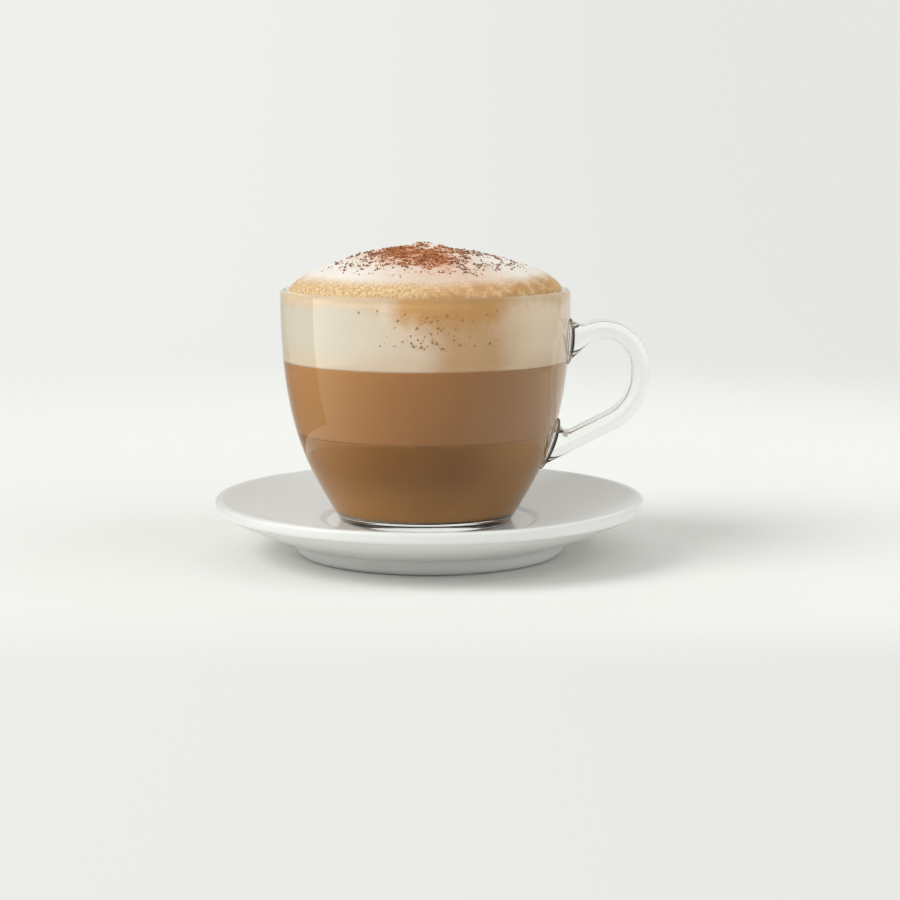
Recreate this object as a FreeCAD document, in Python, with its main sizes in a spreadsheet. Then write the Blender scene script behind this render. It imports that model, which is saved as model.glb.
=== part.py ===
"""Cappuccino in a pressed-glass cup on a white saucer.

Five pieces, each a solid of its own: the saucer, the glass cup with its ear handle, the coffee, the milkier
coffee that floats on it, and the milk foam that stands over the rim as a dome. Millimetres and degrees, +Z up.
The origin is the centre of the saucer's foot ring, on the surface that it stands on. The handle points to +X.
"""

import FreeCAD, Part
import math
import os
import re

import Sketcher

DIMENSIONS = {
    # saucer
    "saucer_radius": 73.1,
    "saucer_height": 19.4,
    "lip_width": 2.4,
    "lip_depth": 3.4,
    "lip_overhang": 0.9,
    "lip_round": 1.1,
    "well_radius": 37.0,
    "well_height": 11.0,
    "well_step": 0.8,
    "flange_curve": 140.0,
    "underside_curve": 120.0,
    "foot_radius": 45.6,
    "foot_height": 5.3,
    "foot_draft": 1.6,
    "foot_width": 4.0,
    "foot_hollow": 4.2,
    "foot_round": 0.9,
    # glass cup: bowl
    "cup_shift": 1.3,
    "cup_height": 79.0,
    "rim_radius": 49.15,
    "rim_round": 1.2,
    "lip_height": 3.5,
    "rim_pull": 47.0,
    "wall_thickness": 2.9,
    "base_radius": 29.1,
    "base_round": 1.6,
    "flare_angle": 29.5,
    "flare_pull": 18.0,
    "floor_thickness": 4.2,
    "floor_round": 4.0,
    "punt_radius": 21.0,
    "punt_depth": 1.3,
    # glass cup: ear handle
    "handle_reach": 26.6,
    "handle_drop": 10.5,
    "handle_depth": 13.0,
    "handle_thickness": 6.0,
    "handle_round": 2.3,
    "top_bend_share": 0.59,
    "side_length": 2.6,
    "low_bend_share": 0.782,
    "low_slope": 26.7,
    "top_start": 28.0,
    "root_height": 16.0,
    "root_lift": 1.6,
    "root_collar": 2.5,
    "root_bend": 1.8,
    # drink
    "coffee_level": 31.2,
    "milk_level": 55.3,
    "foam_inset": 1.3,
    "dome_rise": 16.3,
    "dome_fullness": 1.3,
    "dome_shoulder": 0.55,
    "dome_lean": 2.2,
    "dome_lump": 0.55,
    "broad_lumps": 3.0,
    "broad_turn": 4.0,
    "small_lumps": 5.0,
    "small_turn": -7.0,
    "small_share": 0.7,
    "edge_share": 0.995,
}

# Shares of the rim's inner radius at which the dome has a ring, from its foot to its top
DOME_SHARES = [0.985, 0.95, 0.88, 0.77, 0.62, 0.45, 0.27, 0.12]
RING_STEPS = 16

# A corner is sharp when its two faces turn by more than this, in radians
CORNER_ANGLE = 0.02
# Two lengths are the same when they differ by less than this
SAME = 1e-4
# An edge lies across the ear when its direction is this near to Y
ACROSS = 0.999

NODES = ["saucer", "glass_cup", "coffee", "milk_coffee", "milk_foam"]

doc = FreeCAD.newDocument("cappuccino")
sheet = doc.addObject("Spreadsheet::Sheet", "Dims")
for row, (dimension, size) in enumerate(DIMENSIONS.items(), start=1):
    sheet.set(f"A{row}", dimension.replace("_", " "))
    sheet.set(f"B{row}", str(size))
    sheet.setAlias(f"B{row}", dimension)
doc.recompute()


def value(text):
    """The number that an expression in the sheet's names gives."""
    return float(sheet.evalExpression(text))


def bind(item, setting, text):
    """Tie a property to the sheet; every name of a dimension has an underscore."""
    item.setExpression(setting, re.sub(r"[a-z]+(?:_[a-z]+)+", r"Dims.\g<0>", text))


# Sketches -----------------------------------------------------------------------------------------------------


def arc_between(start, end, radius):
    """An arc from start to end; a positive radius keeps its centre to the left of the way there."""
    chord = end - start
    half = chord.Length / 2
    left = FreeCAD.Vector(-chord.y, chord.x, 0) / chord.Length
    reach = math.sqrt(radius**2 - half**2)
    side = math.copysign(1, radius)
    middle = (start + end) / 2 - left * side * (abs(radius) - reach)
    return Part.Arc(start, middle, end)


def bezier(start, poles, end):
    """A cubic whose two inner poles give the tangents at its ends."""
    curve = Part.BSplineCurve()
    curve.buildFromPolesMultsKnots([start, *poles, end], [4, 4], [0, 1], False, 3)
    return curve


def pin(sketch, side, spot, label, place):
    """Hold one point of a sketch at a place given by two expressions."""
    for axis, text, reference in (("X", place[0], -2), ("Y", place[1], -1)):
        if text == "0":
            sketch.addConstraint(Sketcher.Constraint("PointOnObject", side, spot, reference))
            continue
        size = value(text)
        held = sketch.addConstraint(Sketcher.Constraint(f"Distance{axis}", -1, 1, side, spot, size))
        sketch.renameConstraint(held, f"{label}_{axis.lower()}")
        bind(sketch, f"Constraints.{label}_{axis.lower()}", text)


def outline(body, name, points, bends=None, curves=None):
    """A closed sketch in the body's XZ plane.

    Side i runs from point i to the next one: straight, or an arc of radius bends[i], or a cubic with the two
    inner poles curves[i].
    """
    bends = bends or {}
    curves = curves or {}
    sketch = body.newObject("Sketcher::SketchObject", name)
    plane = next(item for item in body.Origin.OriginFeatures if item.Role == "XZ_Plane")
    sketch.AttachmentSupport = [(plane, "")]
    sketch.MapMode = "FlatFace"
    spots = [FreeCAD.Vector(value(x), value(z), 0) for x, z in points]
    ends = []
    for side, start in enumerate(spots):
        end = spots[(side + 1) % len(spots)]
        if side in bends:
            shape = arc_between(start, end, value(bends[side]))
        elif side in curves:
            poles = [FreeCAD.Vector(value(x), value(z), 0) for x, z in curves[side]]
            shape = bezier(start, poles, end)
        else:
            shape = Part.LineSegment(start, end)
        sketch.addGeometry(shape, False)
        forward = (sketch.getPoint(side, 1) - start).Length < (sketch.getPoint(side, 2) - start).Length
        ends.append((1, 2) if forward else (2, 1))
    for side, place in enumerate(points):
        before = side - 1 if side else len(points) - 1
        sketch.addConstraint(Sketcher.Constraint("Coincident", before, ends[before][1], side, ends[side][0]))
        pin(sketch, side, ends[side][0], f"point{side}", place)
    for side, text in bends.items():
        size = abs(value(text))
        held = sketch.addConstraint(Sketcher.Constraint("Radius", side, size))
        sketch.renameConstraint(held, f"bend{side}")
        bind(sketch, f"Constraints.bend{side}", f"abs({text})")
    for side, poles in curves.items():
        first_pole = sketch.GeometryCount
        sketch.exposeInternalGeometry(side)
        for index, place in enumerate(poles, start=1):
            pin(sketch, first_pole + index, 3, f"pole{side}_{index}", place)
    return sketch


# Features -----------------------------------------------------------------------------------------------------


def turned(body, kind, name, sketch):
    """A Revolution or a Groove right round the Z axis."""
    feature = body.newObject(f"PartDesign::{kind}", name)
    feature.Profile = sketch
    feature.ReferenceAxis = (sketch, ["V_Axis"])
    feature.Angle = 360
    doc.recompute()
    return feature


def ring_edges(feature, rings):
    """Names of the edges that are rings round the Z axis of these radii and heights."""
    names = []
    for radius, height in rings:
        for number, edge in enumerate(feature.Shape.Edges, start=1):
            if edge.Degenerated or not isinstance(edge.Curve, Part.Circle):
                continue
            off = abs(edge.Curve.Radius - value(radius)) + abs(edge.Curve.Center.z - value(height))
            if off < SAME:
                names.append(f"Edge{number}")
    return names


def rounded(body, name, feature, names, radius):
    """A fillet on named edges of the body's last feature."""
    fillet = body.newObject("PartDesign::Fillet", name)
    fillet.Base = (feature, names)
    bind(fillet, "Radius", radius)
    doc.recompute()
    return fillet


# Saucer -------------------------------------------------------------------------------------------------------


def make_saucer():
    """A turned plate: foot ring, convex underside, rolled lip, concave flange and a stepped well."""
    body = doc.addObject("PartDesign::Body", "saucer")
    lip_inside = "saucer_radius - lip_width"
    crease = "saucer_radius - lip_overhang"
    lip_foot = "saucer_height - lip_depth"
    foot_inside = "foot_radius - foot_width"
    points = [
        ("0", "well_height"),
        ("well_radius - well_step", "well_height"),
        ("well_radius", "well_height + well_step"),
        (lip_inside, "saucer_height"),
        ("saucer_radius", "saucer_height"),
        ("saucer_radius", lip_foot),
        (crease, f"{lip_foot} - lip_overhang / 2"),
        ("foot_radius + foot_draft", "foot_height"),
        ("foot_radius", "0"),
        (foot_inside, "0"),
        (f"{foot_inside} - foot_draft / 2", "foot_hollow"),
        ("0", "foot_height"),
    ]
    sketch = outline(body, "saucer_profile", points, bends={2: "flange_curve", 6: "-underside_curve"})
    plate = turned(body, "Revolution", "saucer_plate", sketch)
    lip = [(lip_inside, "saucer_height"), ("saucer_radius", "saucer_height"), ("saucer_radius", lip_foot)]
    lip_rounds = rounded(body, "saucer_lip", plate, ring_edges(plate, lip), "lip_round")
    foot = [("foot_radius", "0"), (foot_inside, "0")]
    rounded(body, "saucer_foot", lip_rounds, ring_edges(lip_rounds, foot), "foot_round")


# Glass cup ----------------------------------------------------------------------------------------------------

BOWL_TOP = "(cup_height - lip_height)"
INSIDE_BASE = "(base_radius + floor_thickness * tan(flare_angle) - wall_thickness / cos(flare_angle))"
INSIDE_PULL = "(flare_pull - floor_thickness)"
INSIDE_RIM = "(rim_radius - wall_thickness)"


def bowl_outline(body):
    """The outside of the bowl: hollowed underside, flare, near-vertical wall and straight lip."""
    points = [
        ("0", "punt_depth"),
        ("punt_radius", "0"),
        ("base_radius", "0"),
        ("rim_radius", BOWL_TOP),
        ("rim_radius", "cup_height"),
        ("0", "cup_height"),
    ]
    flare = ("base_radius + flare_pull * sin(flare_angle)", "flare_pull * cos(flare_angle)")
    upright = ("rim_radius", f"{BOWL_TOP} - rim_pull")
    punt_curve = "-(punt_radius * punt_radius + punt_depth * punt_depth) / (2 * punt_depth)"
    return outline(body, "bowl_profile", points, bends={0: punt_curve}, curves={2: (flare, upright)})


def inside_outline(body):
    """The inside of the bowl, which the cup is hollowed by and the drink fills."""
    points = [
        ("0", "floor_thickness"),
        (INSIDE_BASE, "floor_thickness"),
        (INSIDE_RIM, BOWL_TOP),
        (INSIDE_RIM, "cup_height + lip_height"),
        ("0", "cup_height + lip_height"),
    ]
    flare = (
        f"{INSIDE_BASE} + {INSIDE_PULL} * sin(flare_angle)",
        f"floor_thickness + {INSIDE_PULL} * cos(flare_angle)",
    )
    upright = (INSIDE_RIM, f"{BOWL_TOP} - rim_pull")
    return outline(body, "inside_profile", points, curves={1: (flare, upright)})


def handle_outline(body):
    """The ear seen from its side: two bends joined by a short upright, and roots that flare into the wall."""
    top_bend = "(handle_reach * top_bend_share)"
    low_bend = "(handle_reach * low_bend_share)"
    upper_x = f"(rim_radius + handle_reach - {top_bend})"
    upper_z = f"(cup_height - handle_drop - {top_bend})"
    lower_x = f"(rim_radius + handle_reach - {low_bend})"
    lower_z = f"({upper_z} - side_length)"
    top_inner = f"({top_bend} - handle_thickness)"
    low_inner = f"({low_bend} - handle_thickness)"
    root_x = "(rim_radius - wall_thickness)"
    top_z = "(cup_height - handle_drop + root_lift)"
    tail_x = "(base_radius + root_collar)"
    collar_x = "(rim_radius - root_collar / 2)"
    outer_end = (f"({lower_x} + {low_bend} * sin(low_slope))", f"({lower_z} - {low_bend} * cos(low_slope))")
    inner_end = (f"({lower_x} + {low_inner} * sin(low_slope))", f"({lower_z} - {low_inner} * cos(low_slope))")
    collar_z = f"({inner_end[1]} - ({inner_end[0]} - {collar_x}) * tan(low_slope))"
    points = [
        (root_x, top_z),
        (f"{upper_x} - {top_bend} * sin(top_start)", f"{upper_z} + {top_bend} * cos(top_start)"),
        (f"{upper_x} + {top_bend}", upper_z),
        (f"{lower_x} + {low_bend}", lower_z),
        outer_end,
        (tail_x, f"{outer_end[1]} - ({outer_end[0]} - {tail_x}) * tan(low_slope)"),
        (tail_x, f"{collar_z} + root_collar"),
        (f"{collar_x} - root_collar", f"{collar_z} + root_collar"),
        (collar_x, collar_z),
        inner_end,
        (f"{lower_x} + {low_inner}", lower_z),
        (f"{upper_x} + {top_inner}", upper_z),
        (f"{upper_x} - {top_inner} * sin(top_start)", f"{upper_z} + {top_inner} * cos(top_start)"),
        (root_x, f"{top_z} - root_height - root_lift"),
    ]
    bends = {
        1: f"-{top_bend}",
        3: f"-{low_bend}",
        9: low_inner,
        11: top_inner,
    }
    return outline(body, "handle_profile", points, bends=bends)


def faces_at(feature, edge):
    """The two faces that meet at an edge."""
    return [face for face in feature.Shape.Faces if any(edge.isSame(other) for other in face.Edges)]


def sharp_corners(ear):
    """Edges across the ear's full depth where its outline turns a corner."""
    names = []
    for number, edge in enumerate(ear.Shape.Edges, start=1):
        if not isinstance(edge.Curve, Part.Line) or abs(edge.tangentAt(edge.FirstParameter).y) < ACROSS:
            continue
        spot = edge.Vertexes[0].Point
        first, second = (face.normalAt(*face.Surface.parameter(spot)) for face in faces_at(ear, edge))
        if first.getAngle(second) > CORNER_ANGLE:
            names.append(f"Edge{number}")
    return names


def side_rims(ear):
    """Edges round the ear's two flat sides."""
    names = []
    half = value("handle_depth / 2")
    for number, edge in enumerate(ear.Shape.Edges, start=1):
        middle = edge.valueAt((edge.FirstParameter + edge.LastParameter) / 2)
        spots = [middle, *(vertex.Point for vertex in edge.Vertexes)]
        if all(abs(abs(spot.y) - half) < SAME for spot in spots):
            names.append(f"Edge{number}")
    return names


def make_bowl():
    """The turned bowl: hollowed, with a rounded lip, base and inner corner."""
    body = doc.addObject("PartDesign::Body", "bowl")
    turned(body, "Revolution", "bowl_blank", bowl_outline(body))
    hollow = turned(body, "Groove", "bowl_inside", inside_outline(body))
    inside_corner = ring_edges(hollow, [(INSIDE_BASE, "floor_thickness")])
    floor = rounded(body, "bowl_floor", hollow, inside_corner, "floor_round")
    rim = ring_edges(floor, [("rim_radius", "cup_height"), (INSIDE_RIM, "cup_height")])
    lip = rounded(body, "bowl_rim", floor, rim, "rim_round")
    rounded(body, "bowl_base", lip, ring_edges(lip, [("base_radius", "0")]), "base_round")
    return body


def make_ear():
    """The ear with its corners and sides rounded, and with roots that run on into the wall."""
    body = doc.addObject("PartDesign::Body", "ear")
    blank = body.newObject("PartDesign::Pad", "ear_blank")
    blank.Profile = handle_outline(body)
    blank.Midplane = True
    bind(blank, "Length", "handle_depth")
    doc.recompute()
    roots = rounded(body, "ear_roots", blank, sharp_corners(blank), "root_bend")
    rounded(body, "ear_sides", roots, side_rims(roots), "handle_round")
    return body


def make_glass_cup(inside):
    """One pressed piece: the bowl, and the ear grown out of its wall as far as the inside."""
    ear = doc.addObject("Part::Cut", "ear_outside")
    ear.Base = make_ear()
    ear.Tool = inside
    cup = doc.addObject("Part::MultiFuse", "glass_cup")
    cup.Shapes = [make_bowl(), ear]
    set_in_place(cup)


def set_in_place(item):
    """The cup and all in it stand in the saucer's well, a little to one side."""
    bind(item, "Placement.Base.x", "-cup_shift")
    bind(item, "Placement.Base.z", "well_height")


# Drink --------------------------------------------------------------------------------------------------------


def make_inside():
    """The space inside the cup, as a solid for the layers to be cut from."""
    body = doc.addObject("PartDesign::Body", "cup_inside")
    space = turned(body, "Revolution", "cup_space", inside_outline(body))
    rounded(body, "cup_space_floor", space, ring_edges(space, [(INSIDE_BASE, "floor_thickness")]), "floor_round")
    return body


def layer(name, inside, bottom, top):
    """What fills the cup from one level up to another."""
    slab = doc.addObject("Part::Cylinder", f"{name}_slab")
    bind(slab, "Radius", "rim_radius")
    bind(slab, "Height", f"{top} - {bottom}")
    bind(slab, "Placement.Base.z", bottom)
    filling = doc.addObject("Part::Common", name)
    filling.Base = inside
    filling.Tool = slab
    return filling


def foam_ring(share, height):
    """One level of the dome: an uneven closed curve that leans and swells as it rises."""
    rise = max(height, 0) / value("dome_rise")
    swell = value("dome_lump") * math.sin(math.pi * rise)
    lean = value("dome_lean") * math.sin(2 * math.pi * rise**value("dome_fullness"))
    radius = share * value(INSIDE_RIM)
    level = value("cup_height") + height
    broad_lumps, small_lumps = value("broad_lumps"), value("small_lumps")
    broad_turn, small_turn = value("broad_turn"), value("small_turn")
    small_share = value("small_share")
    spots = []
    for step in range(RING_STEPS):
        angle = 2 * math.pi * step / RING_STEPS
        broad = math.sin(broad_lumps * angle + broad_turn * rise)
        small = math.cos(small_lumps * angle + small_turn * rise)
        lumps = broad + small_share * small
        reach = radius + swell * lumps
        spots.append(FreeCAD.Vector(lean + reach * math.cos(angle), reach * math.sin(angle), level))
    curve = Part.BSplineCurve()
    curve.interpolate(Points=spots, PeriodicFlag=True)
    return Part.Wire(curve.toShape())


def make_dome():
    """The foam above the rim, lofted through rings whose height falls away as a power of their radius."""
    fullness = value("dome_fullness")
    shoulder = value("dome_shoulder")
    rings = [foam_ring(value("edge_share"), -value("foam_inset"))]
    for share in DOME_SHARES:
        rings.append(foam_ring(share, value("dome_rise") * (1 - share**fullness) ** shoulder))
    top = Part.Vertex(FreeCAD.Vector(0, 0, value("cup_height + dome_rise")))
    dome = doc.addObject("Part::Feature", "foam_dome")
    dome.Shape = Part.makeLoft([*rings, top], True, False)
    return dome


def make_drink(inside):
    """Coffee, the milkier coffee on it, and the foam, each filling the cup from the one below."""
    set_in_place(layer("coffee", inside, "floor_thickness", "coffee_level"))
    set_in_place(layer("milk_coffee", inside, "coffee_level", "milk_level"))
    foam = doc.addObject("Part::MultiFuse", "milk_foam")
    foam.Shapes = [layer("foam_band", inside, "milk_level", "cup_height - foam_inset"), make_dome()]
    foam.Refine = True
    set_in_place(foam)


# Build, check and write ---------------------------------------------------------------------------------------

make_saucer()
cup_inside = make_inside()
make_glass_cup(cup_inside)
make_drink(cup_inside)
doc.recompute()

for item in doc.Objects:
    if "Invalid" in item.State or "Error" in item.State:
        raise RuntimeError(f"{item.Name} failed: {item.State}")

os.makedirs("parts", exist_ok=True)
for name in NODES:
    node = doc.getObject(name)
    node.Label = name
    shape = node.Shape
    if shape.isNull() or not shape.isValid() or len(shape.Solids) != 1:
        raise RuntimeError(f"{name} is not one valid solid")
    shape.exportStep(f"parts/{name}.step")
    print(f"{name}: {shape.Volume / 1000:.1f} cm3")
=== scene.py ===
import bpy
import math
import random
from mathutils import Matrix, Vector, noise


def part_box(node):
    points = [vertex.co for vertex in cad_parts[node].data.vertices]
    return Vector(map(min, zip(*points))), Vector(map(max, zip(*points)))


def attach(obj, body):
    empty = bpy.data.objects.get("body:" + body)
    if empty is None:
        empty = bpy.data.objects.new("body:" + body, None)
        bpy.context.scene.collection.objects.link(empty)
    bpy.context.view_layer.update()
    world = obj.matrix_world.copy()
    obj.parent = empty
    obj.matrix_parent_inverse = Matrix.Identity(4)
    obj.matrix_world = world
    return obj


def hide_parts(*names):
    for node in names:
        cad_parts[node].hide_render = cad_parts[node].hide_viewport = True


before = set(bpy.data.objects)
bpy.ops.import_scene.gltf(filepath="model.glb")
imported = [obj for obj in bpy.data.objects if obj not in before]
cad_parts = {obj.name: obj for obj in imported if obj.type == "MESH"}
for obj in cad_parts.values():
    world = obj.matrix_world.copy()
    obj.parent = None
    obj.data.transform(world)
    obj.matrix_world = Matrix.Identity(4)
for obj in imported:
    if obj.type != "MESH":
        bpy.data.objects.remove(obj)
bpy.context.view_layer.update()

MM = 0.001

# ---------------------------------------------------------------- places, taken from the CAD nodes
glass_low, glass_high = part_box("glass_cup")
coffee_low, coffee_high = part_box("coffee")
milk_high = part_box("milk_coffee")[1]
foam_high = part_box("milk_foam")[1]
AXIS_X = (coffee_low[0] + coffee_high[0]) / 2 / MM      # the cup's axis, in mm
CUP_BASE = glass_low[2] / MM
COFFEE_FLOOR = coffee_low[2] / MM
COFFEE_TOP = coffee_high[2] / MM
MILK_TOP = milk_high[2] / MM
RIM_TOP = glass_high[2] / MM
DOME_TOP = foam_high[2] / MM

# ---------------------------------------------------------------- the inside of the glass, in mm
INNER_RADIUS = 46.25
WALL_FOOT_RADIUS = 28.14
FLARE_ANGLE = 29.5               # of the wall at its foot, from upright
FLARE_PULL = 13.8                # length of the wall curve's lower handle
WALL_PULL_HEIGHT = 28.5          # where its upper handle ends, over the cup's base
WALL_STRAIGHT_HEIGHT = 75.5      # above this the wall is upright
FLOOR_ROUND = 4.0
INTO_WALL = 0.35                 # how far the drink reaches into the glass, so that no air gap shows
WALL_STEPS = 90
ROUND_STEPS = 12


def cubic(points, t):
    """The point at t on the cubic curve with these four control points."""
    a, b, c, d = points
    u = 1 - t
    return tuple(u**3 * a[i] + 3 * u**2 * t * b[i] + 3 * u * t**2 * c[i] + t**3 * d[i] for i in (0, 1))


def inside_profile():
    """Radius and height of the glass's inner wall, from the middle of its floor up to the rim."""
    floor = COFFEE_FLOOR
    turn = math.radians(FLARE_ANGLE)
    start = (WALL_FOOT_RADIUS, floor)
    pull = (start[0] + FLARE_PULL * math.sin(turn), floor + FLARE_PULL * math.cos(turn))
    points = (
        start,
        pull,
        (INNER_RADIUS, CUP_BASE + WALL_PULL_HEIGHT),
        (INNER_RADIUS, CUP_BASE + WALL_STRAIGHT_HEIGHT),
    )
    wall = [cubic(points, i / WALL_STEPS) for i in range(WALL_STEPS + 1)]
    # the round between floor and wall: a circle that touches both
    best = None
    for i in range(1, len(wall) - 1):
        (r0, z0), (r1, z1) = wall[i - 1], wall[i + 1]
        length = math.hypot(r1 - r0, z1 - z0)
        normal = (-(z1 - z0) / length, (r1 - r0) / length)
        centre = (wall[i][0] + normal[0] * FLOOR_ROUND, wall[i][1] + normal[1] * FLOOR_ROUND)
        miss = abs(centre[1] - floor - FLOOR_ROUND)
        if best is None or miss < best[0]:
            best = (miss, i, centre, normal)
    _, first, centre, normal = best
    arc_end = math.atan2(-normal[1], -normal[0])
    profile = [(0.0, floor), (centre[0] * 0.5, floor)]
    for i in range(ROUND_STEPS + 1):
        a = -math.pi / 2 + (arc_end + math.pi / 2) * i / ROUND_STEPS
        profile.append((centre[0] + FLOOR_ROUND * math.cos(a), centre[1] + FLOOR_ROUND * math.sin(a)))
    profile += wall[first + 1:]
    profile.append((INNER_RADIUS, RIM_TOP))
    return profile


def pushed_out(profile, distance):
    """The profile moved out of the drink by a distance, into the glass."""
    out = []
    for i, (r, z) in enumerate(profile):
        r0, z0 = profile[max(i - 1, 0)]
        r1, z1 = profile[min(i + 1, len(profile) - 1)]
        length = math.hypot(r1 - r0, z1 - z0)
        outwards = (z1 - z0) / length * distance
        downwards = (r1 - r0) / length * distance
        out.append((max(0.0, r + outwards) if r > 0 else 0.0, z - downwards))
    return out


SKIN = pushed_out(inside_profile(), INTO_WALL)


def between(profile, low, high):
    """The part of a profile between two heights, with its two ends cut exactly there."""
    out = []
    for (r0, z0), (r1, z1) in zip(profile, profile[1:]):
        for level in (low, high):
            if min(z0, z1) < level < max(z0, z1):
                out.append((r0 + (r1 - r0) * (level - z0) / (z1 - z0), level))
        if low <= z1 <= high:
            out.append((r1, z1))
    if low <= profile[0][1] <= high:
        out.insert(0, profile[0])
    return sorted(set(out), key=lambda p: (p[1], p[0]))


# ---------------------------------------------------------------- meshes
def mesh_piece(name, vertices, faces):
    """A smooth-shaded piece from points in mm."""
    mesh = bpy.data.meshes.new(name)
    mesh.from_pydata([(x * MM, y * MM, z * MM) for x, y, z in vertices], [], faces)
    mesh.validate()
    mesh.polygons.foreach_set("use_smooth", [True] * len(mesh.polygons))
    piece = bpy.data.objects.new(name, mesh)
    bpy.context.scene.collection.objects.link(piece)
    return piece


def skin_faces(rings, turns):
    """The faces of a closed skin whose points are one end, then rings of points, then the other end."""
    last = rings * turns + 1
    faces = []
    for j in range(turns):
        k = (j + 1) % turns
        faces.append((0, 1 + k, 1 + j))
        for i in range(rings - 1):
            a = 1 + i * turns
            b = a + turns
            faces.append((a + j, a + k, b + k, b + j))
        a = 1 + (rings - 1) * turns
        faces.append((a + j, a + k, last))
    return faces


def lathe(name, profile, turns, axis=AXIS_X):
    """A closed solid of revolution, from a profile whose ends lie on the axis."""
    vertices = [(axis, 0.0, profile[0][1])]
    for r, z in profile[1:-1]:
        for j in range(turns):
            a = 2 * math.pi * j / turns
            vertices.append((axis + r * math.cos(a), r * math.sin(a), z))
    vertices.append((axis, 0.0, profile[-1][1]))
    return mesh_piece(name, vertices, skin_faces(len(profile) - 2, turns))


# ---------------------------------------------------------------- the saucer, in mm
def arc(start, end, radius, steps):
    """Points on an arc from start to end, both left out; a positive radius keeps its centre to the left."""
    (x0, y0), (x1, y1) = start, end
    length = math.hypot(x1 - x0, y1 - y0)
    reach = math.copysign(math.sqrt(radius**2 - length**2 / 4), radius)
    cx = (x0 + x1) / 2 - (y1 - y0) / length * reach
    cy = (y0 + y1) / 2 + (x1 - x0) / length * reach
    a0 = math.atan2(y0 - cy, x0 - cx)
    sweep_angle = (math.atan2(y1 - cy, x1 - cx) - a0 + math.pi) % (2 * math.pi) - math.pi
    size = abs(radius)
    out = []
    for i in range(1, steps):
        a = a0 + sweep_angle * i / steps
        out.append((cx + size * math.cos(a), cy + size * math.sin(a)))
    return out


def softened(path, steps):
    """A path of (r, z, radius) with each corner rounded by its radius."""
    out = [path[0][:2]]
    for (x0, y0, _), (x1, y1, radius), (x2, y2, _) in zip(path, path[1:], path[2:]):
        if not radius:
            out.append((x1, y1))
            continue
        la, lb = math.hypot(x0 - x1, y0 - y1), math.hypot(x2 - x1, y2 - y1)
        ax, ay, bx, by = (x0 - x1) / la, (y0 - y1) / la, (x2 - x1) / lb, (y2 - y1) / lb
        half = math.acos(max(-1.0, min(1.0, ax * bx + ay * by))) / 2
        cut = radius / math.tan(half)
        start, end = (x1 + ax * cut, y1 + ay * cut), (x1 + bx * cut, y1 + by * cut)
        turn = 1 if ax * by - ay * bx < 0 else -1
        out += [start] + arc(start, end, radius * turn, steps) + [end]
    out.append(path[-1][:2])
    return out


SAUCER_RADIUS, SAUCER_HEIGHT = 73.1, 19.4
LIP_INNER = 70.7
FOOT_INNER, FOOT_OUTER = 41.6, 45.6
UNDERSIDE = 5.3                  # the plate's underside by the foot, over the table
WELL_RADIUS, WELL_TOP, WELL_FLOOR = 37.8, 11.8, 11.0
UNDER_CURVE, UPPER_CURVE = 120, -140      # radii of the plate's two faces, see arc()
CURVE_STEPS = 12
CREASE_STEPS = 8


def saucer_profile():
    """From the middle of the underside out over foot and lip to the middle of the well."""
    crease, under_lip = (47.2, UNDERSIDE), (72.2, 15.55)
    lip, well = (LIP_INNER, SAUCER_HEIGHT), (WELL_RADIUS, WELL_TOP)
    path = [(0, UNDERSIDE, 0), (40.8, 4.2, 0.5), (FOOT_INNER, 0, 0.9), (FOOT_OUTER, 0, 3.9), (*crease, 2.4)]
    path += [(r, z, 0) for r, z in arc(crease, under_lip, UNDER_CURVE, CURVE_STEPS)]
    path += [(*under_lip, 0.9), (SAUCER_RADIUS, 16.0, 1.1), (SAUCER_RADIUS, SAUCER_HEIGHT, 1.1), (*lip, 1.1)]
    path += [(r, z, 0) for r, z in arc(lip, well, UPPER_CURVE, CURVE_STEPS)]
    path += [(*well, 1.2), (35.4, WELL_FLOOR, 1.2), (0, WELL_FLOOR, 0)]
    return softened(path, CREASE_STEPS)


# ---------------------------------------------------------------- the ear's fillets
EAR_HALF_DEPTH = 6.5
FILLET_ON_EAR = 1.9
FILLET_ON_BOWL = 0.9
ROOTS = ((65.2, 80.4), (29.4, 46.6))      # from and to, in height
FILLET_END, FILLET_FADE = 0.02, 0.35      # at its ends a fillet has 0.02**0.35, a quarter, of its size
INTO_GLASS = 0.15
FILLET_LENGTH_STEPS, FILLET_CURVE_STEPS = 40, 8
OUTER_FOOT_RADIUS, OUTER_RADIUS = 29.1, 49.15
OUTER_PULL = 18
OUTER_FLARE = math.radians(FLARE_ANGLE)
OUTER = (
    (OUTER_FOOT_RADIUS, 0.0),
    (OUTER_FOOT_RADIUS + OUTER_PULL * math.sin(OUTER_FLARE), OUTER_PULL * math.cos(OUTER_FLARE)),
    (OUTER_RADIUS, WALL_PULL_HEIGHT),
    (OUTER_RADIUS, WALL_STRAIGHT_HEIGHT),
)


def outer_radius(z):
    """The bowl's outer radius at a height."""
    low, high = 0.0, 1.0
    for _ in range(30):
        middle = (low + high) / 2
        if cubic(OUTER, middle)[1] < z - CUP_BASE:
            low = middle
        else:
            high = middle
    return cubic(OUTER, low)[0]


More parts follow.
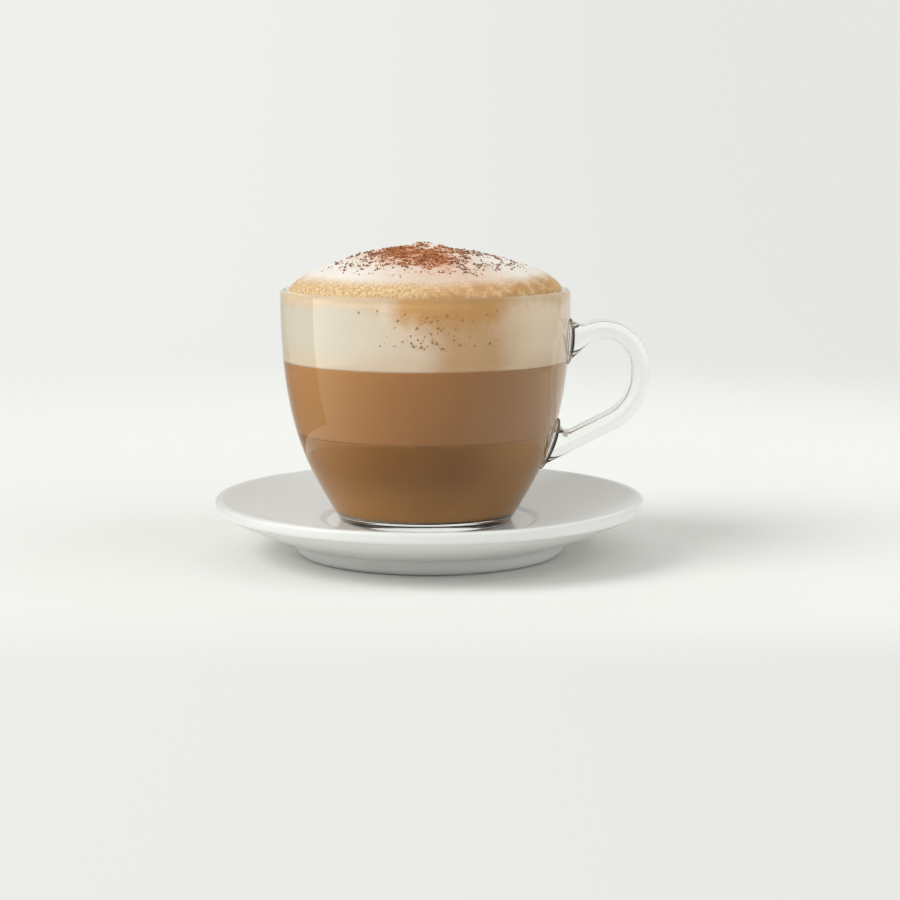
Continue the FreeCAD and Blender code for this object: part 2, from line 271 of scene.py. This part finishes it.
def fillet_ring(z, share, side):
    """One section of a fillet: a hollow curve from the ear's side to the bowl, closed inside the glass."""
    fade = max(FILLET_END, math.sin(math.pi * share)) ** FILLET_FADE
    r = outer_radius(z)
    y = side * EAR_HALF_DEPTH
    x = math.sqrt(r**2 - y**2)
    turn = math.atan2(y, x) + side * fade * FILLET_ON_BOWL / r
    a, b, c = (x + fade * FILLET_ON_EAR, y), (r * math.cos(turn), r * math.sin(turn)), (x, y)
    ring = []
    for j in range(FILLET_CURVE_STEPS + 1):
        u = j / FILLET_CURVE_STEPS
        ring.append(tuple((1 - u) ** 2 * a[k] + 2 * u * (1 - u) * c[k] + u**2 * b[k] for k in (0, 1)))
    ring.append((x - INTO_GLASS, y - side * INTO_GLASS))
    return [(AXIS_X + px, py, z) for px, py in ring]


def ear_fillets():
    """Where the ear's two sides run into the bowl, a hollow fillet of glass that thins to its ends."""
    vertices, faces = [], []
    count = FILLET_CURVE_STEPS + 2
    for side in (-1, 1):
        for z0, z1 in ROOTS:
            rings = []
            for i in range(FILLET_LENGTH_STEPS + 1):
                share = i / FILLET_LENGTH_STEPS
                rings.append(len(vertices))
                vertices += fillet_ring(z0 + (z1 - z0) * share, share, side)
            for s0, s1 in zip(rings, rings[1:]):
                for j in range(count):
                    k = (j + 1) % count
                    quad = (s0 + j, s0 + k, s1 + k, s1 + j)
                    faces.append(quad if side > 0 else quad[::-1])
            first = tuple(range(rings[0], rings[0] + count))
            last = tuple(range(rings[-1], rings[-1] + count))
            faces.append(first[::-1] if side > 0 else first)
            faces.append(last if side > 0 else last[::-1])
    return mesh_piece("ear_fillets", vertices, faces)


# ---------------------------------------------------------------- shader helpers
class Nodes:
    """A short way to write a material's nodes."""

    def __init__(self, tree):
        self.tree = tree
        tree.nodes.clear()

    def new(self, kind, **settings):
        node = self.tree.nodes.new(kind)
        for key, value in settings.items():
            setattr(node, key, value)
        return node

    def link(self, source, target):
        self.tree.links.new(source, target)

    def feed(self, socket, value):
        if isinstance(value, bpy.types.NodeSocket):
            self.link(value, socket)
        elif isinstance(value, (int, float)):
            socket.default_value = value
        else:
            socket.default_value = tuple(value) + (1.0,) * (len(socket.default_value) - len(value))

    def math(self, operation, a, b=0.0, c=0.0):
        node = self.new("ShaderNodeMath", operation=operation)
        for socket, value in zip(node.inputs, (a, b, c)):
            self.feed(socket, value)
        return node.outputs[0]

    def step(self, value, low, high):
        """0 on low's side, 1 on high's side, smooth between. low may be above high."""
        node = self.new("ShaderNodeMapRange", interpolation_type="SMOOTHSTEP")
        self.feed(node.inputs["Value"], value)
        node.inputs["From Min"].default_value = min(low, high)
        node.inputs["From Max"].default_value = max(low, high)
        node.inputs["To Min"].default_value = 0.0 if low < high else 1.0
        node.inputs["To Max"].default_value = 1.0 if low < high else 0.0
        return node.outputs["Result"]

    def mix(self, factor, a, b):
        node = self.new("ShaderNodeMix", data_type="RGBA")
        self.feed(node.inputs["Factor"], factor)
        self.feed(node.inputs["A"], a)
        self.feed(node.inputs["B"], b)
        return node.outputs["Result"]

    def noise(self, vector, scale, detail=2.0, roughness=0.5):
        node = self.new("ShaderNodeTexNoise")
        self.link(vector, node.inputs["Vector"])
        node.inputs["Scale"].default_value = scale
        node.inputs["Detail"].default_value = detail
        node.inputs["Roughness"].default_value = roughness
        return node.outputs["Fac"]

    def place(self):
        """The point in mm from the cup's axis and the floor: (vector, x, y, z, radius)."""
        where = self.new("ShaderNodeTexCoord").outputs["Object"]
        shift = self.new("ShaderNodeVectorMath", operation="MULTIPLY_ADD")
        self.link(where, shift.inputs[0])
        shift.inputs[1].default_value = (1 / MM,) * 3
        shift.inputs[2].default_value = (-AXIS_X, 0, 0)
        parts = self.new("ShaderNodeSeparateXYZ")
        self.link(shift.outputs[0], parts.inputs[0])
        x, y, z = parts.outputs
        return shift.outputs[0], x, y, z, self.length(x, y)

    def length(self, x, y):
        return self.math("SQRT", self.math("ADD", self.math("MULTIPLY", x, x), self.math("MULTIPLY", y, y)))

    def bearing(self, x, y):
        """The direction round from the front in degrees, positive to the right."""
        return self.math("MULTIPLY", self.math("ARCTAN2", x, self.math("MULTIPLY", y, -1.0)), 180 / math.pi)


def linear(red, green, blue):
    """A display colour of 0 to 255 as the linear colour that a shader takes."""
    out = []
    for c in (red, green, blue):
        c /= 255
        out.append(c / 12.92 if c <= 0.04045 else ((c + 0.055) / 1.055) ** 2.4)
    return tuple(out)


def material(name):
    m = bpy.data.materials.new(name)
    m.use_nodes = True
    return m, Nodes(m.node_tree)


def principled(n, colour, roughness, **constants):
    shader = n.new("ShaderNodeBsdfPrincipled")
    n.feed(shader.inputs["Base Color"], colour)
    shader.inputs["Roughness"].default_value = roughness
    for key, value in constants.items():
        shader.inputs[key.replace("_", " ")].default_value = value
    return shader


def finish_surface(n, shader_output):
    out = n.new("ShaderNodeOutputMaterial")
    n.link(shader_output, out.inputs["Surface"])


LIQUID_IN_GLASS = 0.887      # index of the drink as a share of the glass's


def behind_glass(n, colour, roughness, share=1.0):
    """What wets the wall: its own colour head on, a mirror at a grazing angle. share weakens the mirror."""
    body = principled(n, colour, roughness, Specular_IOR_Level=0.0)
    mirror = n.new("ShaderNodeBsdfGlossy")
    mirror.inputs["Color"].default_value = (1, 1, 1, 1)
    mirror.inputs["Roughness"].default_value = 0.0
    grazing = n.new("ShaderNodeFresnel")
    grazing.inputs["IOR"].default_value = LIQUID_IN_GLASS
    mixed = n.new("ShaderNodeMixShader")
    n.link(n.math("MULTIPLY", grazing.outputs[0], share), mixed.inputs[0])
    n.link(body.outputs[0], mixed.inputs[1])
    n.link(mirror.outputs[0], mixed.inputs[2])
    return mixed


# ---------------------------------------------------------------- materials
def glass_material():
    m, n = material("clear_glass")
    shader = principled(n, (0.985, 0.992, 0.988), 0.0, Transmission_Weight=1.0, IOR=1.5)
    through = n.new("ShaderNodeBsdfTransparent")
    through.inputs["Color"].default_value = (0.93, 0.94, 0.935, 1)
    path = n.new("ShaderNodeLightPath")
    mixed = n.new("ShaderNodeMixShader")
    n.link(path.outputs["Is Shadow Ray"], mixed.inputs[0])
    n.link(shader.outputs[0], mixed.inputs[1])
    n.link(through.outputs[0], mixed.inputs[2])
    finish_surface(n, mixed.outputs[0])
    return m


def glaze_material():
    m, n = material("white_glaze")
    shader = principled(n, linear(228, 229, 226), 0.22, Specular_IOR_Level=0.5)
    finish_surface(n, shader.outputs[0])
    return m


def coffee_material(name):
    """One look for both coffees, darker below the level where they meet, with painted light towards their
    left and right edges and a painted shade right of the middle.
    """
    m, n = material(name)
    vector, x, y, z, radius = n.place()
    drift = n.noise(vector, 0.035, 3.0)
    fine = n.noise(vector, 0.22, 4.0)
    top = n.mix(drift, linear(174, 122, 66), linear(162, 108, 52))
    low = n.mix(drift, linear(150, 100, 40), linear(134, 86, 28))
    low = n.mix(n.step(z, COFFEE_TOP - 8, COFFEE_FLOOR), low, linear(182, 129, 66))
    # painted light: the coffee is painted lighter towards its left and right edges, more so on the right
    painted_side_light = n.step(n.math("ABSOLUTE", x), 8, 42)
    painted_side_light = n.math("MULTIPLY", painted_side_light, n.math("MULTIPLY_ADD", n.step(x, -20, 42), 0.6, 0.4))
    top = n.mix(painted_side_light, top, linear(190, 150, 104))
    shaded = n.math("MULTIPLY", n.step(x, 6, 24), n.step(x, 44, 34))
    top = n.mix(n.math("MULTIPLY", shaded, 0.45), top, linear(150, 102, 62))
    low = n.mix(painted_side_light, low, linear(178, 132, 74))
    edge = n.math("ADD", z, n.math("MULTIPLY", n.math("SUBTRACT", fine, 0.5), 1.6))
    colour = n.mix(n.step(edge, COFFEE_TOP + 0.9, COFFEE_TOP - 0.9), top, low)
    finish_surface(n, behind_glass(n, colour, 0.6).outputs[0])
    return m


def dome_colour(n, x, y, radius, mottle, wander, jitter):
    """White foam, with a tan ring where the crema has risen round the dome's foot, and a painted shade on
    the white at the front.
    """
    broad, middle, fine = mottle
    white = n.mix(broad, linear(240, 236, 228), linear(234, 227, 216))
    # painted shade: the white is painted greyer and pinker at the dome's front, round the middle
    painted_front_shade = n.step(n.math("ABSOLUTE", n.math("SUBTRACT", x, 3.0)), 28, 8)
    painted_front_shade = n.math("MULTIPLY", n.step(y, -12, -34), painted_front_shade)
    white = n.mix(n.math("MULTIPLY", painted_front_shade, 0.7), white, linear(224, 208, 196))
    ring_place = n.math("ADD", radius, n.math("MULTIPLY", jitter, 0.3))
    ring_place = n.math("ADD", ring_place, n.math("MULTIPLY", wander, 0.12))
    tinge = n.math("MULTIPLY_ADD", n.math("MULTIPLY", n.step(x, -26, 4), n.step(x, 34, 12)), 0.26, 0.1)
    tinge = n.math("MULTIPLY", n.step(ring_place, 26.0, 42.0), tinge)
    ring = n.math("MAXIMUM", n.step(ring_place, 37.5, 44.5), tinge)
    tan = n.mix(n.step(fine, 0.35, 0.65), linear(198, 158, 104), linear(229, 202, 160))
    dark = n.math("MULTIPLY", n.step(n.math("ADD", x, wander), -8, 9), n.step(y, 0, -20))
    dark = n.math("MULTIPLY", dark, n.step(middle, 0.3, 0.6))
    tan = n.mix(n.math("MULTIPLY", dark, 0.8), tan, linear(190, 140, 84))
    return n.mix(ring, white, tan)


def band_colour(n, x, y, z, wander, jitter):
    """The foam behind the glass: darker and cooler to the left, painted lighter and warmer to the right as
    painted light, with a crema stain by the rim.
    """
    place = n.math("ADD", x, wander)
    # painted light: the foam is painted lighter towards the right, where the lamps light it less
    band = n.mix(n.step(place, -34, 10), linear(209, 202, 184), linear(241, 223, 199))
    band = n.mix(n.step(place, 5, 36), band, linear(246, 228, 202))
    low = n.math("MULTIPLY", n.step(z, MILK_TOP + 9, MILK_TOP - 1), 0.6)
    band = n.mix(low, band, linear(222, 196, 162))
    front = n.step(y, -14, -30)
    streak = n.math("MULTIPLY", n.step(place, -2, 9), n.step(place, 34, 18))
    streak = n.math("MULTIPLY", n.math("MULTIPLY", streak, front), 0.7)
    band = n.mix(streak, band, linear(208, 160, 100))
    side = n.math("ADD", x, n.math("MULTIPLY", wander, 0.4))
    drip = n.math("ADD", z, n.math("MULTIPLY", jitter, 1.3))
    stain = n.math("MULTIPLY", n.step(side, -11, -4), n.step(side, 31, 20))
    stain = n.math("MULTIPLY", n.math("MULTIPLY", stain, front), n.step(drip, RIM_TOP - 13, RIM_TOP - 3.5))
    band = n.mix(stain, band, linear(214, 163, 100))
    fringe = n.math("MULTIPLY", n.step(drip, RIM_TOP - 6, RIM_TOP - 1), 0.5)
    return n.mix(fringe, band, linear(216, 176, 124))


DUST_BEFORE = 17.0                        # how far in front of the cup's axis the cocoa lies
DUST_SLANT = (0.74, 0.67)                 # cosine and sine of its oval's turn
DUST_SHIFT, DUST_HALF = (2.0, 1.5), (20.0, 11.0)      # along the oval and across it


def dusted(n, x, y, colour, above, mottle):
    """The colour with cocoa dust in a slanting oval, and a faint tan haze round it."""
    _, middle, fine = mottle
    cosine, sine = DUST_SLANT
    y = n.math("ADD", y, DUST_BEFORE)
    along = n.math("ADD", n.math("MULTIPLY", x, cosine), n.math("MULTIPLY", y, -sine))
    across = n.math("ADD", n.math("MULTIPLY", x, sine), n.math("MULTIPLY", y, cosine))
    dx = n.math("DIVIDE", n.math("ADD", along, DUST_SHIFT[0]), DUST_HALF[0])
    dy = n.math("DIVIDE", n.math("ADD", across, DUST_SHIFT[1]), DUST_HALF[1])
    far = n.math("ADD", n.length(dx, dy), n.math("MULTIPLY", n.math("SUBTRACT", middle, 0.5), 1.8))
    far = n.math("ADD", far, n.math("MULTIPLY", n.math("SUBTRACT", fine, 0.5), 1.6))
    haze = n.math("MULTIPLY", n.step(far, 2.1, 0.8), 0.4)
    colour = n.mix(n.math("MULTIPLY", haze, above), colour, linear(222, 176, 138))
    dust = n.math("MULTIPLY", n.step(far, 1.15, 0.3), 0.8)
    return n.mix(n.math("MULTIPLY", dust, above), colour, linear(200, 128, 80))


def foam_material():
    m, n = material("milk_foam")
    vector, x, y, z, radius = n.place()
    mottle = n.noise(vector, 0.05, 3.0), n.noise(vector, 0.22, 4.0, 0.6), n.noise(vector, 1.1, 3.0, 0.6)
    wander = n.math("MULTIPLY", n.math("SUBTRACT", mottle[0], 0.5), 16.0)
    jitter = n.math("MULTIPLY", n.math("SUBTRACT", mottle[1], 0.5), 8.0)
    dome = dome_colour(n, x, y, radius, mottle, wander, jitter)
    band = band_colour(n, x, y, z, wander, jitter)
    above = n.step(z, RIM_TOP - 1.5, RIM_TOP + 0.5)
    colour = dusted(n, x, y, n.mix(above, band, dome), above, mottle)
    dry = principled(n, colour, 0.55, Specular_IOR_Level=0.15)
    # near the rim the foam is froth, not liquid, and mirrors nothing
    wet = behind_glass(n, colour, 0.6, n.step(z, RIM_TOP - 12, RIM_TOP - 22))
    mixed = n.new("ShaderNodeMixShader")
    n.link(n.step(z, RIM_TOP - 1.2, RIM_TOP - 0.6), mixed.inputs[0])
    n.link(wet.outputs[0], mixed.inputs[1])
    n.link(dry.outputs[0], mixed.inputs[2])
    finish_surface(n, mixed.outputs[0])
    return m


def cocoa_material():
    m, n = material("cocoa_powder")
    vector, x, y, z, radius = n.place()
    tone = n.noise(vector, 0.7, 2.0)
    tone = n.step(tone, 0.3, 0.7)
    colour = n.mix(tone, linear(212, 140, 94), linear(120, 74, 50))
    outer = n.step(n.math("ABSOLUTE", n.math("ADD", x, 3.0)), 9, 20)
    colour = n.mix(n.math("MULTIPLY", outer, 0.75), colour, linear(136, 108, 92))
    colour = n.mix(n.step(z, RIM_TOP - 2, RIM_TOP - 3), colour, linear(190, 150, 100))
    shader = principled(n, colour, 0.9, Specular_IOR_Level=0.1)
    finish_surface(n, shader.outputs[0])
    return m


# ---------------------------------------------------------------- the foam
FOAM_TURNS = 420
DOME_STEPS = 150
DOME_FULLNESS = 1.3
DOME_SHOULDER = 0.55
DOME_EDGE_RADIUS = 46.2
DOME_SLACK = 1.35          # height kept back for the bumps
EDGE_DROP = 0.6            # how far under the rim the dome starts
SIDE_DROP = 1.6            # and the foam's side ends
BUMPS = (            # x and y from the cup's axis, spread and height, all in mm
    (-0.5, -1.0, 3.2, 1.1),
    (-22.0, -5.0, 6.0, 0.9),
    (-34.0, -4.0, 5.0, -1.3),
    (9.0, 1.0, 5.0, -0.5),
    (-14.0, 9.0, 6.0, 0.5),
    (38.0, -6.0, 8.0, 0.7),
    (14.0, -16.0, 7.0, 0.35),
    (-8.0, -19.0, 6.0, -0.3),
)


def dome_height(x, y):
    """The dome's rise at a place given from the cup's axis, in mm, before foam_surface() stretches it."""
    share = min(1.0, math.hypot(x, y) / DOME_EDGE_RADIUS)
    rise = DOME_TOP - RIM_TOP - DOME_SLACK
    height = rise * max(0.0, 1 - share**DOME_FULLNESS) ** DOME_SHOULDER
    for bx, by, spread, lift in BUMPS:
        height += lift * math.exp(-((x - bx) ** 2 + (y - by) ** 2) / (2 * spread**2))
    inner = min(1.0, (1 - share) * 6)
    height += inner * 0.55 * noise.noise(Vector((x / 11, y / 11, 3.1)))
    height += inner * 0.28 * noise.noise(Vector((x / 4.2, y / 4.2, 7.7)))
    height += inner * 0.10 * noise.noise(Vector((x / 1.6, y / 1.6, 1.3)))
    return height


def foam_surface(x, y):
    """The height of the foam's skin at a place given from the cup's axis."""
    return RIM_TOP - EDGE_DROP + dome_height(x, y) * (DOME_TOP - RIM_TOP + EDGE_DROP) / (DOME_TOP - RIM_TOP)


def foam_piece():
    """The foam as one closed skin: flat bottom, side inside the glass, and dome above the rim."""
    side = between(SKIN, MILK_TOP, RIM_TOP - SIDE_DROP)
    turns = [2 * math.pi * j / FOAM_TURNS for j in range(FOAM_TURNS)]
    vertices = [(AXIS_X, 0.0, MILK_TOP)]
    for r, z in side:
        vertices += [(AXIS_X + r * math.cos(turn), r * math.sin(turn), z) for turn in turns]
    for i in range(1, DOME_STEPS):
        r = math.cos(math.pi / 2 * i / DOME_STEPS) * DOME_EDGE_RADIUS
        for turn in turns:
            x, y = r * math.cos(turn), r * math.sin(turn)
            vertices.append((AXIS_X + x, y, foam_surface(x, y)))
    vertices.append((AXIS_X, 0.0, foam_surface(0, 0)))
    return mesh_piece("foam", vertices, skin_faces(len(side) + DOME_STEPS - 1, FOAM_TURNS))


# ---------------------------------------------------------------- the cocoa
GRAINS = 4600
BAND_SHARE = 0.5                                  # of the grains, tried in the dense slanting band
BAND_MIDDLE, BAND_WAY = (-2.5, -17.5), (0.80, -0.68)
BAND_HALF_LENGTH, BAND_SPREAD = 14.5, (3.6, 4.6)
LOOSE_MIDDLE, LOOSE_SPREAD = (2.0, -14.0), (15.5, 11.0)
CLUMP_SIZE = 2.6
DUSTED_TO, DUSTED_FRAY = 31, 5                    # how far out grains lie, and how ragged that is
SPECKS = 110
SPECKS_LEFT, SPECKS_RIGHT = -24.0, 27.0
SPECKS_UNDER_RIM, SPECKS_DEPTH = 4.0, 12.0


def grain(vertices, faces, pick, centre, radius, flat):
    """A small uneven lump with eight sides; flat scales it along x, y and z."""
    start = len(vertices)
    turn = pick.random() * math.pi
    for dx, dy, dz in ((1, 0, 0), (0, 1, 0), (-1, 0, 0), (0, -1, 0), (0, 0, 0.8), (0, 0, -0.8)):
        grow = radius * (0.75 + 0.5 * pick.random())
        vx = (dx * math.cos(turn) - dy * math.sin(turn)) * grow * flat[0]
        vy = (dx * math.sin(turn) + dy * math.cos(turn)) * grow * flat[1]
        vertices.append((AXIS_X + centre[0] + vx, centre[1] + vy, centre[2] + dz * grow * flat[2]))
    for a, b in ((0, 1), (1, 2), (2, 3), (3, 0)):
        faces.append((start + a, start + b, start + 4))
        faces.append((start + b, start + a, start + 5))


def dome_grains(pick, vertices, faces):
    """Loose grains resting in the foam's skin, in a dense band and scattered round it."""
    count = 0
    while count < GRAINS:
        heap = pick.random()
        if heap < BAND_SHARE:
            along = pick.uniform(-BAND_HALF_LENGTH, BAND_HALF_LENGTH)
            x = along * BAND_WAY[0] + BAND_MIDDLE[0] + pick.gauss(0.0, BAND_SPREAD[0])
            y = along * BAND_WAY[1] + BAND_MIDDLE[1] + pick.gauss(0.0, BAND_SPREAD[1])
        else:
            x = pick.gauss(LOOSE_MIDDLE[0], LOOSE_SPREAD[0])
            y = pick.gauss(LOOSE_MIDDLE[1], LOOSE_SPREAD[1])
        clump = noise.noise(Vector((x / CLUMP_SIZE, y / CLUMP_SIZE, 5.5)))
        if pick.random() > 0.45 + 1.1 * clump:
            continue
        if math.hypot(x, y + 4) > DUSTED_TO + DUSTED_FRAY * pick.random():
            continue
        count += 1
        radius = 0.12 + 0.34 * pick.random() ** 2
        if heap > BAND_SHARE and pick.random() < 0.2:
            radius += 0.2
        z = min(foam_surface(x, y) + radius * 0.2, DOME_TOP - radius * 1.3)
        grain(vertices, faces, pick, (x, y, z), radius, (1, 1, 1.15))


def glass_specks(pick, vertices, faces):
    """Flat specks between the foam and the glass at the front."""
    for _ in range(SPECKS):
        x = max(SPECKS_LEFT, min(SPECKS_RIGHT, pick.gauss(4.0, 11.5)))
        z = RIM_TOP - SPECKS_UNDER_RIM - SPECKS_DEPTH * pick.random() ** 1.1
        y = -math.sqrt((INNER_RADIUS + INTO_WALL) ** 2 - x**2)
        radius = 0.2 + 0.55 * pick.random() ** 2.5
        grain(vertices, faces, pick, (x, y, z), radius, (1, 0.25, 1))


def cocoa_piece():
    pick = random.Random(7)
    vertices, faces = [], []
    dome_grains(pick, vertices, faces)
    glass_specks(pick, vertices, faces)
    return mesh_piece("cocoa", vertices, faces)


# ---------------------------------------------------------------- building
coffee_profile = between(SKIN, -math.inf, COFFEE_TOP) + [(0.0, COFFEE_TOP)]
milk_profile = [(0.0, COFFEE_TOP)] + between(SKIN, COFFEE_TOP, MILK_TOP) + [(0.0, MILK_TOP)]

coffee = lathe("coffee_body", coffee_profile, 256)
milk_coffee = lathe("milk_coffee_body", milk_profile, 256)
foam = foam_piece()
cocoa = cocoa_piece()
saucer = lathe("saucer_body", saucer_profile(), 360, axis=0.0)
fillets = ear_fillets()
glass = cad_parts["glass_cup"]


def dress(piece, finish):
    piece.data.materials.clear()
    piece.data.materials.append(finish)


dress(coffee, coffee_material("coffee_low"))
dress(milk_coffee, coffee_material("coffee_high"))
dress(foam, foam_material())
dress(cocoa, cocoa_material())
glass_finish = glass_material()
glaze_finish = glaze_material()
dress(saucer, glaze_finish)
dress(fillets, glass_finish)
for i in range(len(glass.material_slots)):
    glass.material_slots[i].material = glass_finish

for piece, node, slot in (
    (coffee, "coffee", "coffee"),
    (milk_coffee, "milk_coffee", "milk_coffee"),
    (foam, "milk_foam", "foam"),
    (saucer, "saucer", "saucer"),
):
    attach(piece, "root")
    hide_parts(node)
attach(cocoa, "root")
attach(fillets, "root")

# ---------------------------------------------------------------- floor, world, lamps, camera
BACKGROUND = linear(238, 239, 235)
# painted shade: the plain background is darker to the right
BACKGROUND_SHADED_RIGHT = linear(230, 231, 227)
PLAIN_FROM, PLAIN_TO = 300, 700      # between these distances the floor turns plain, in mm
FLOOR_GAP = 0.02                     # how far the floor lies under the saucer's foot, in mm


def sweep():
    """A floor that curves up behind into a backdrop."""
    left, right, front, back, radius, top = -950, 2000, -1500, 900, 700, 2600
    profile = [(front, 0.0)]
    for i in range(25):
        a = math.pi / 2 * i / 24
        profile.append((back + radius * math.sin(a), radius - radius * math.cos(a)))
    profile.append((back + radius, top))
    vertices, faces = [], []
    for y, z in profile:
        vertices += [(left, y, z - FLOOR_GAP), (right, y, z - FLOOR_GAP)]
    for i in range(len(profile) - 1):
        faces.append((2 * i, 2 * i + 1, 2 * i + 3, 2 * i + 2))
    piece = mesh_piece("backdrop", vertices, faces)
    m, n = material("backdrop_paper")
    vector, x, y, z, radius = n.place()
    paper = principled(n, linear(236, 237, 233), 0.9, Specular_IOR_Level=0.0)
    plain = n.new("ShaderNodeEmission")
    # painted shade: the plain background darkens towards the right
    n.link(n.mix(n.step(x, -260, 320), BACKGROUND, BACKGROUND_SHADED_RIGHT), plain.inputs["Color"])
    path = n.new("ShaderNodeLightPath")
    seen = n.math("MAXIMUM", path.outputs["Is Camera Ray"], path.outputs["Is Glossy Ray"])
    seen = n.math("MAXIMUM", seen, path.outputs["Is Transmission Ray"])
    mixed = n.new("ShaderNodeMixShader")
    away = n.math("MAXIMUM", n.step(radius, PLAIN_FROM, PLAIN_TO), n.step(y, -95, -170))
    n.link(n.math("MULTIPLY", seen, away), mixed.inputs[0])
    n.link(paper.outputs[0], mixed.inputs[1])
    n.link(plain.outputs[0], mixed.inputs[2])
    finish_surface(n, mixed.outputs[0])
    dress(piece, m)


sweep()

FILL_LEVEL = 0.44          # at the horizon
FILL_ABOVE = 0.25          # more overhead
WINDOW = 2.2               # how bright the window is in a mirror
DIM = 0.36                 # and the room in front


def studio():
    """An even fill for matt surfaces, the plain background for the camera, and a room for the rest.

    Shiny surfaces and glass show that room: a window to the left, dim in front, pale behind and above.
    """
    world = bpy.data.worlds.new("studio")
    bpy.context.scene.world = world
    world.use_nodes = True
    n = Nodes(world.node_tree)
    way = n.new("ShaderNodeTexCoord").outputs["Generated"]
    parts = n.new("ShaderNodeSeparateXYZ")
    n.link(way, parts.inputs[0])
    x, y, z = parts.outputs
    turn = n.bearing(x, y)
    window = n.math("MULTIPLY", n.step(turn, -101, -98), n.step(turn, 10, -60))
    back = n.math("MAXIMUM", n.step(turn, 124, 132), n.step(turn, -145, -152))
    room = n.mix(window, (0.30, 0.305, 0.295), (1.0, 1.0, 0.98))
    room = n.mix(back, room, (0.84, 0.84, 0.82))
    room = n.mix(n.step(z, 0.55, 0.9), room, (0.7, 0.7, 0.69))
    shown = n.new("ShaderNodeBackground")
    n.link(room, shown.inputs["Color"])
    fill = n.new("ShaderNodeBackground")
    fill.inputs["Color"].default_value = (1.0, 1.0, 0.99, 1)
    level = n.math("MULTIPLY_ADD", n.math("MAXIMUM", z, 0.0), FILL_ABOVE, FILL_LEVEL)
    n.link(level, fill.inputs["Strength"])
    path = n.new("ShaderNodeLightPath")
    sharp = n.math("MAXIMUM", path.outputs["Is Glossy Ray"], path.outputs["Is Transmission Ray"])
    mixed = n.new("ShaderNodeMixShader")
    n.link(sharp, mixed.inputs[0])
    n.link(fill.outputs[0], mixed.inputs[1])
    n.link(shown.outputs[0], mixed.inputs[2])
    plain = n.new("ShaderNodeBackground")
    n.feed(plain.inputs["Color"], BACKGROUND)
    direct = n.new("ShaderNodeMixShader")
    n.link(path.outputs["Is Camera Ray"], direct.inputs[0])
    n.link(mixed.outputs[0], direct.inputs[1])
    n.link(plain.outputs[0], direct.inputs[2])
    out = n.new("ShaderNodeOutputWorld")
    n.link(direct.outputs[0], out.inputs["Surface"])


studio()


def card(name, reach, height, first, last, light, fade=0.0):
    """A curved card out of shot, seen only in shiny surfaces.

    It stands from bearing first to last, in degrees from the front. A light of two values runs from one to
    the other, and fade is how many degrees its start takes to appear, with its top softened too.
    """
    steps = 60
    vertices, faces = [], []
    for i in range(steps + 1):
        a = math.radians(first + (last - first) * i / steps)
        for z in (0.5, height):
            vertices.append((AXIS_X + reach * math.sin(a), -reach * math.cos(a), z))
    for i in range(steps):
        faces.append((2 * i, 2 * i + 2, 2 * i + 3, 2 * i + 1))
    piece = mesh_piece(name, vertices, faces)
    m, n = material(name + "_light")
    glow = n.new("ShaderNodeEmission")
    vector, x, y, z, radius = n.place()
    turn = n.bearing(x, y)
    if isinstance(light, tuple):
        n.link(n.mix(n.step(turn, first, last), (light[0],) * 3, (light[1],) * 3), glow.inputs["Color"])
    else:
        glow.inputs["Color"].default_value = (light, light, light, 1)
    light_out = glow.outputs[0]
    if fade:
        whole = n.math("MULTIPLY", n.step(turn, first, first + fade), n.step(z, height, height * 0.4))
        mixed = n.new("ShaderNodeMixShader")
        n.link(whole, mixed.inputs[0])
        n.link(n.new("ShaderNodeBsdfTransparent").outputs[0], mixed.inputs[1])
        n.link(light_out, mixed.inputs[2])
        light_out = mixed.outputs[0]
    finish_surface(n, light_out)
    dress(piece, m)
    piece.visible_camera = False
    piece.visible_diffuse = False
    piece.visible_transmission = False
    piece.visible_shadow = False
    piece.visible_volume_scatter = False


card("window", 330, 460, -92, -10, (WINDOW, DIM))
card("dim_front", 330, 460, -10, 127, DIM)
card("dim_left", 140, 220, -165, -82, 0.2, fade=45)


def sun(name, place, strength, softness):
    lamp = bpy.data.lights.new(name, "SUN")
    lamp.energy = strength
    lamp.angle = math.radians(softness)
    holder = bpy.data.objects.new(name, lamp)
    bpy.context.scene.collection.objects.link(holder)
    holder.rotation_euler = (-Vector(place)).to_track_quat("-Z", "Y").to_euler()


sun("key", (-1.0, -0.42, 0.80), 1.85, 36)
sun("side", (1.0, -0.35, 0.45), 0.80, 60)

CAMERA_PLACE, CAMERA_AIM = (11.03, -700, 135.86), (6.97, 0, 34.89)      # in mm

lens = bpy.data.cameras.new("camera")
lens.lens = 82.66
lens.sensor_width = 36
camera = bpy.data.objects.new("camera", lens)
bpy.context.scene.collection.objects.link(camera)
camera.location = Vector(CAMERA_PLACE) * MM
view = Vector(CAMERA_AIM) * MM - camera.location
camera.rotation_euler = view.to_track_quat("-Z", "Y").to_euler()
bpy.context.scene.camera = camera
bpy.context.scene.view_settings.view_transform = "Standard"
